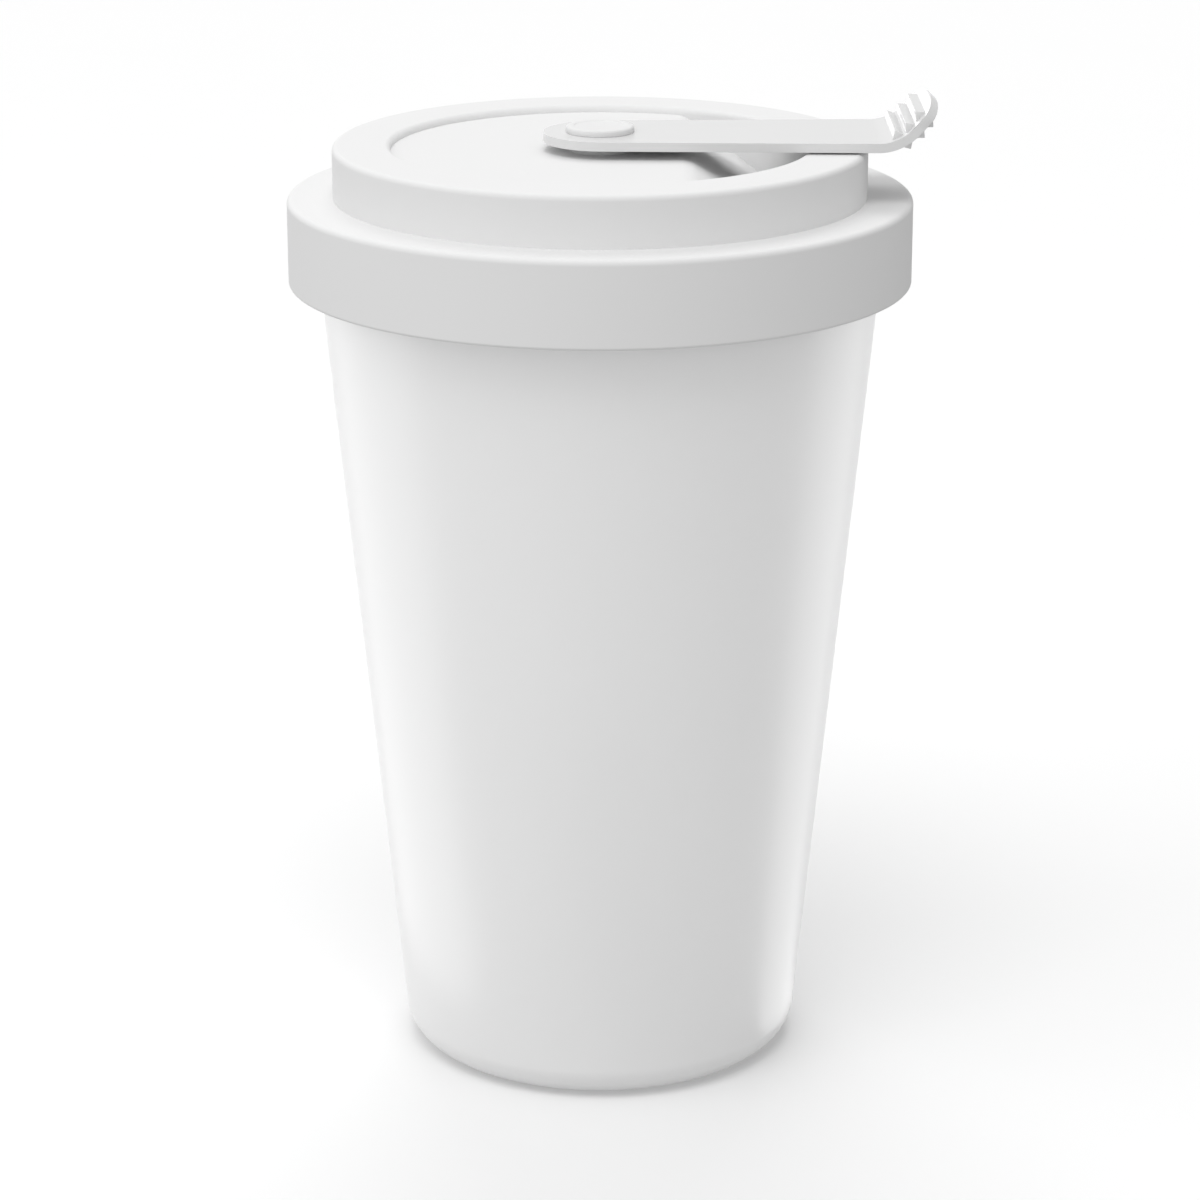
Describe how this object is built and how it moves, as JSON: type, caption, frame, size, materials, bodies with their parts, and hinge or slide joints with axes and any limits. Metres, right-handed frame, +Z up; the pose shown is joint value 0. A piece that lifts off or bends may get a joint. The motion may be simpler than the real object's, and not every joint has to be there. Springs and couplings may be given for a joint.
{
  "type": "thermal travel mug",
  "caption": "Tapered double-walled travel mug with a push-on lid, whose swinging lever turns a shutter under the drink slot.",
  "frame": {"origin": "on the cup's axis, in the plane that the foot ring stands on", "axes": "+Z up along the cup's axis, the lever points along +X at rest"},
  "size_m": [0.0983, 0.095, 0.1519],
  "materials": {
    "shell_plastic": "smooth glossy white moulding",
    "liner_steel": "spun stainless sheet, brushed round",
    "lid_plastic": "satin white moulding with a fine grain",
    "insert_plastic": "satin white moulding",
    "gasket_silicone": "matte translucent white silicone",
    "lever_plastic": "satin white moulding",
    "pin_plastic": "satin white moulding",
    "ring_rubber": "black rubber",
    "shutter_plastic": "satin white moulding",
    "seal_silicone": "matte translucent white silicone",
    "screw_steel": "plain stainless"
  },
  "bodies": {
    "cup": {"outer_shell": "shell_plastic", "inner_liner": "liner_steel"},
    "lid": {"lid_shell": "lid_plastic", "lid_insert": "insert_plastic", "lid_gasket": "gasket_silicone"},
    "lever": {"lever": "lever_plastic", "pivot_pin": "pin_plastic", "pin_seal_ring": "ring_rubber", "shutter": "shutter_plastic", "shutter_seal": "seal_silicone", "pin_screw": "screw_steel"}
  },
  "joints": [
    {"name": "lid_lift", "type": "slide", "parent": "cup", "child": "lid", "axis": [0, 0, 1], "range_m": [0, 0.04]},
    {"name": "lever_swing", "type": "hinge", "parent": "lid", "child": "lever", "pos_m": [0, 0, 0.1455], "axis": [0, 0, 1], "range_deg": [-50, 50]}
  ]
}
